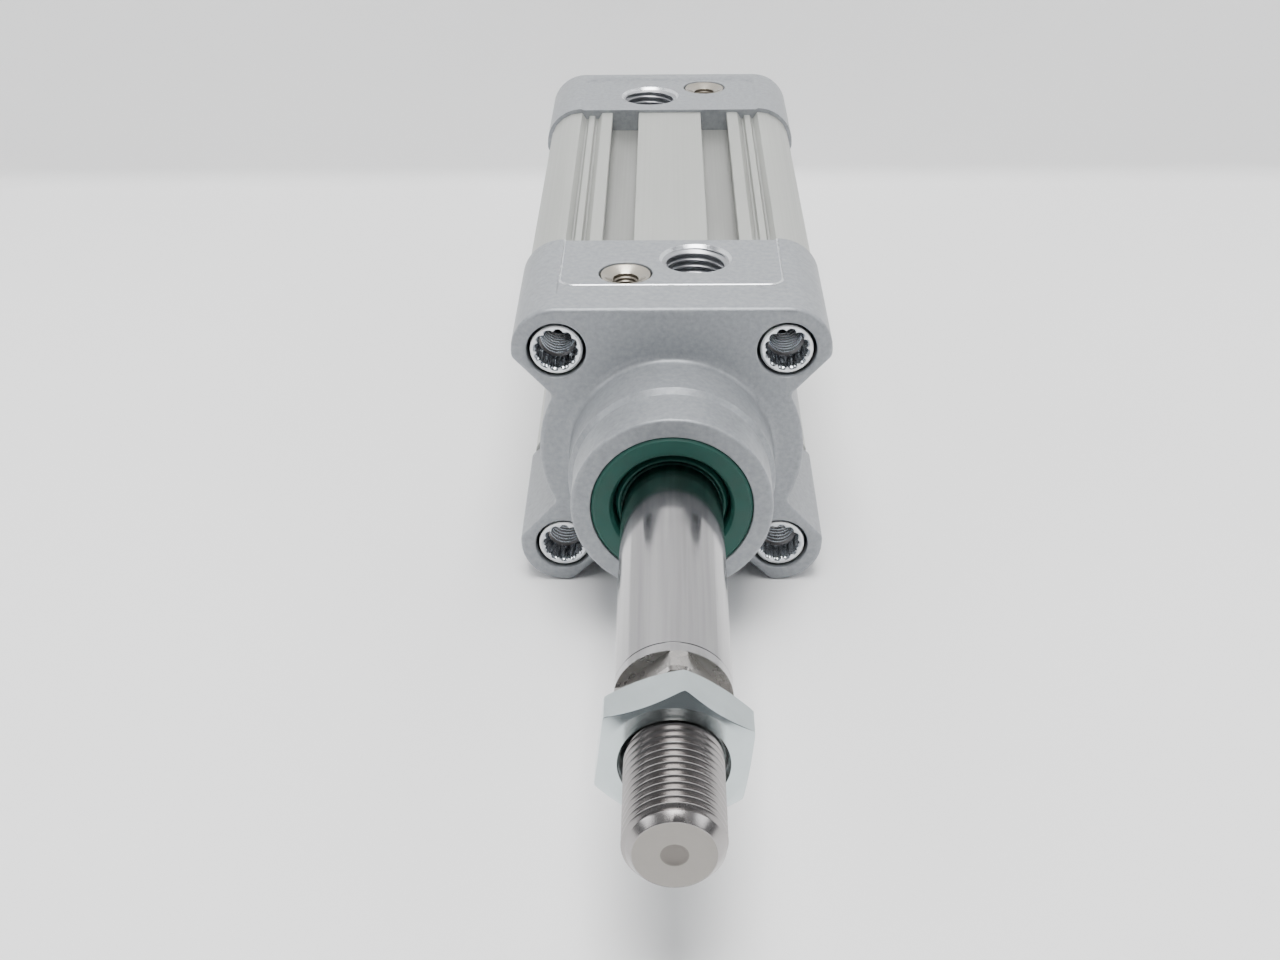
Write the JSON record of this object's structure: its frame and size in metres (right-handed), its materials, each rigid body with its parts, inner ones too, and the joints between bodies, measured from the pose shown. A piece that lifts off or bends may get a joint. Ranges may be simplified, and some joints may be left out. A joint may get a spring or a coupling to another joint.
{
  "type": "pneumatic cylinder",
  "caption": "Profile-barrel pneumatic cylinder with square notched end covers, ports on top, a chromed rod with a threaded end and lock nut, and adjustable end cushioning.",
  "frame": {"origin": "centre of the front cover's flange face, on the rod's axis", "axes": "+Y along the axis towards the rear cover, +Z towards the ports, +X to the right seen from the rod end"},
  "size_m": [0.065, 0.279, 0.065],
  "materials": {
    "cover_paint": "satin grey paint over a fine cast texture",
    "barrel_anodised": "satin anodised extrusion, fine lines along its length",
    "screw_steel": "zinc-plated, turned head",
    "wiper_green": "glossy green polyurethane",
    "rod_chrome": "ground and hard chromed",
    "nut_zinc": "bright bluish zinc",
    "throttle_nickel": "nickel-plated, turned",
    "black_nitrile": "satin black",
    "bearing_bronze": "sintered bronze",
    "piston_aluminium": "machined",
    "magnet_plastoferrite": "matte",
    "guide_strip": "matte",
    "nut_steel": "plain steel"
  },
  "bodies": {
    "cylinder": {"barrel_profile": "barrel_anodised", "front_cover": "cover_paint", "rear_cover": "cover_paint", "front_cover_screws": "screw_steel", "rear_cover_screws": "screw_steel", "rod_wiper_seal": "wiper_green", "rod_bearing_bush": "bearing_bronze", "front_barrel_seal": "black_nitrile", "rear_barrel_seal": "black_nitrile", "front_cushion_seal": "black_nitrile", "rear_cushion_seal": "black_nitrile", "front_cushion_screw_seal": "black_nitrile", "rear_cushion_screw_seal": "black_nitrile"},
    "piston_slider": {"piston_seal_front": "black_nitrile", "piston_seal_rear": "black_nitrile", "piston_guide_ring": "guide_strip"},
    "rod": {"piston_rod": "rod_chrome", "piston_front_half": "piston_aluminium", "piston_rear_half": "piston_aluminium", "magnet_ring": "magnet_plastoferrite", "piston_static_seal": "black_nitrile", "front_cushion_sleeve": "piston_aluminium", "rear_cushion_sleeve": "piston_aluminium", "piston_nut": "nut_steel"},
    "lock_nut": {"rod_lock_nut": "nut_zinc"},
    "front_throttle": {"front_cushion_screw": "throttle_nickel"},
    "rear_throttle": {"rear_cushion_screw": "throttle_nickel"}
  },
  "joints": [
    {"name": "rod_slide", "type": "slide", "parent": "cylinder", "child": "piston_slider", "axis": [0, -1, 0], "range_m": [-0.05, 0]},
    {"name": "rod_turn", "type": "hinge", "parent": "piston_slider", "child": "rod", "pos_m": [0, 0, 0], "axis": [0, -1, 0], "continuous": true},
    {"name": "lock_nut_turn", "type": "hinge", "parent": "rod", "child": "lock_nut", "pos_m": [0, -0.095, 0], "axis": [0, -1, 0], "continuous": true},
    {"name": "front_throttle_turn", "type": "hinge", "parent": "cylinder", "child": "front_throttle", "pos_m": [-0.0095, 0.0185, 0.0315], "axis": [0, 0, 1], "range_deg": [0, 720]},
    {"name": "rear_throttle_turn", "type": "hinge", "parent": "cylinder", "child": "rear_throttle", "pos_m": [0.0095, 0.1442, 0.0315], "axis": [0, 0, 1], "range_deg": [0, 720]}
  ]
}
